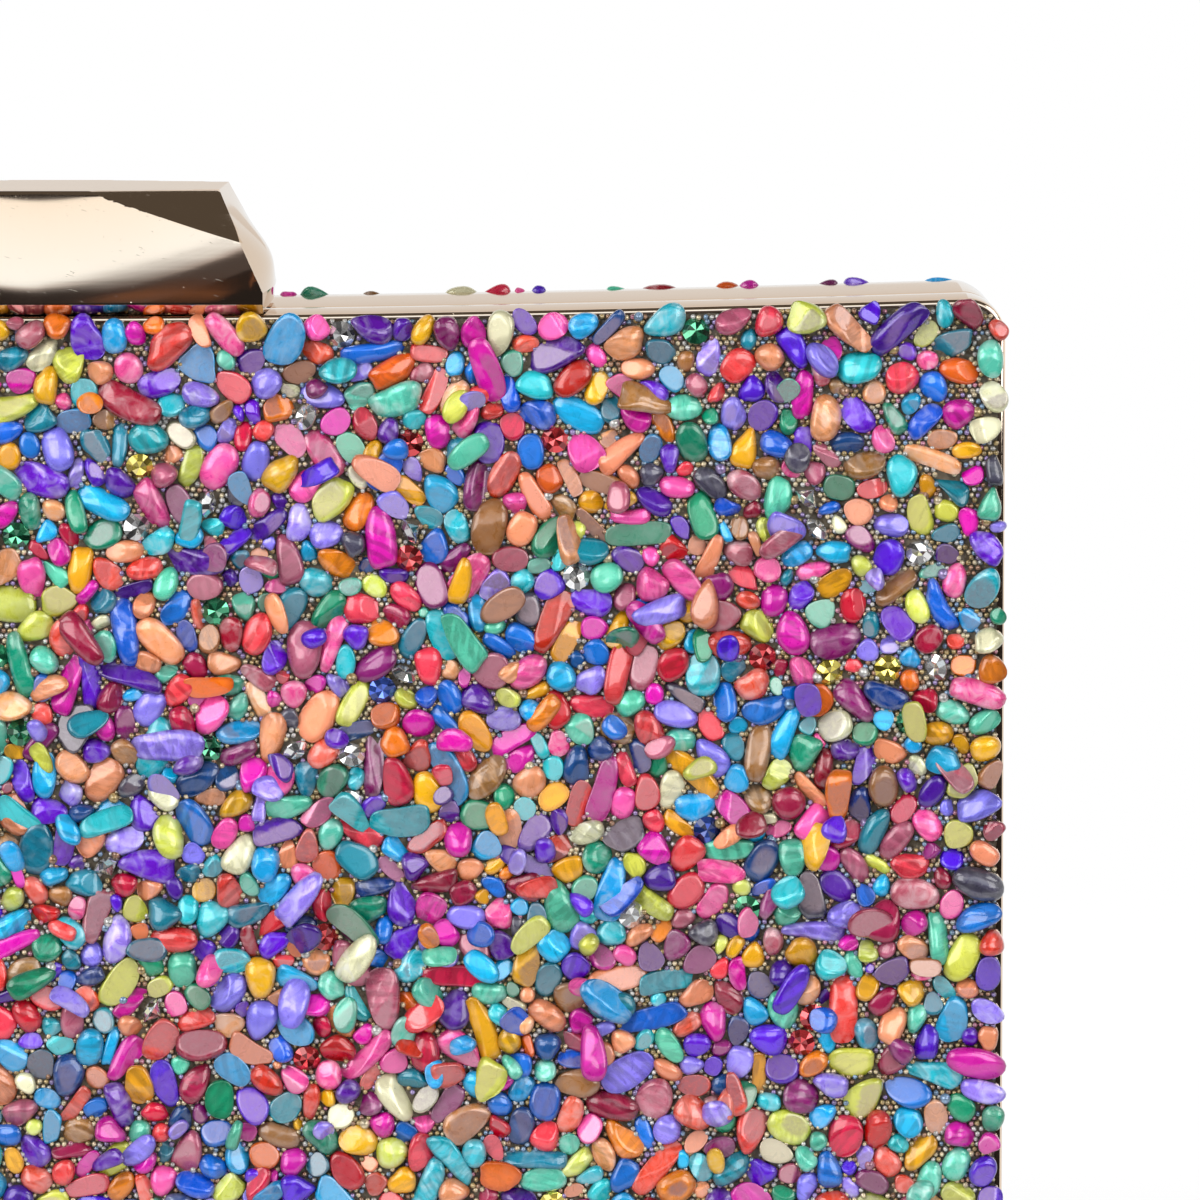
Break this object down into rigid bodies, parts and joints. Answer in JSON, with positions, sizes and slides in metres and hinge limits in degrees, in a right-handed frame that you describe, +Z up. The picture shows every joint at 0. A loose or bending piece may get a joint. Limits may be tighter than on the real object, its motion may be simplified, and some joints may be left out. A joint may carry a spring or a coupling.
{
  "type": "jeweled box clutch",
  "caption": "Hard box clutch: gold-framed shells with stone-encrusted faces, hinged along the bottom and closed by a faceted flip-up bar clasp.",
  "frame": {"origin": "centre of the bounding box on the surface that the clutch stands on, hinge side down", "axes": "+Z up towards the clasp, +X along the clutch's width, the front face looks along -Y"},
  "size_m": [0.21, 0.0442, 0.1336],
  "materials": {
    "gold_frame": "polished rose gold plate, fine hairline scratches",
    "gold_clasp": "mirror-polished rose gold plate, light scratches",
    "stone_mosaic": "glossy dyed shell chips, rhinestones and metallic micro-beads in clear resin",
    "panel_board": "plain moulded board",
    "satin_lining": "champagne satin glued on card",
    "steel_parts": "bright plated steel",
    "spring_steel": "blued spring steel"
  },
  "bodies": {
    "back_shell": {"back_frame": "gold_frame", "back_panel": "panel_board", "back_stone_bed": "stone_mosaic", "back_lining_pad": "satin_lining", "back_lining_wall": "satin_lining", "back_hinge_leaf": "steel_parts", "hinge_pin": "steel_parts", "clasp_base": "steel_parts", "clasp_pin": "steel_parts", "clasp_return_spring": "spring_steel", "base_rivet_left": "steel_parts", "base_rivet_right": "steel_parts"},
    "front_shell": {"front_frame": "gold_frame", "front_panel": "panel_board", "front_stone_bed": "stone_mosaic", "front_lining_pad": "satin_lining", "front_lining_wall": "satin_lining", "front_hinge_leaf": "steel_parts"},
    "clasp": {"clasp_bar": "gold_clasp", "catch_tongue": "spring_steel", "tongue_rivet_left": "steel_parts", "tongue_rivet_right": "steel_parts"}
  },
  "joints": [
    {"name": "shell_hinge", "type": "hinge", "parent": "back_shell", "child": "front_shell", "pos_m": [0, -0.0065, 0.00155], "axis": [1, 0, 0], "range_deg": [0, 85], "deforming": ["catch_tongue"]},
    {"name": "clasp_flip", "type": "hinge", "parent": "back_shell", "child": "clasp", "pos_m": [0, 0.00585, 0.1237], "axis": [-1, 0, 0], "range_deg": [0, 20], "stiffness_Nm_per_rad": 0.05, "springref_deg": -28.65, "deforming": ["clasp_return_spring"]}
  ]
}
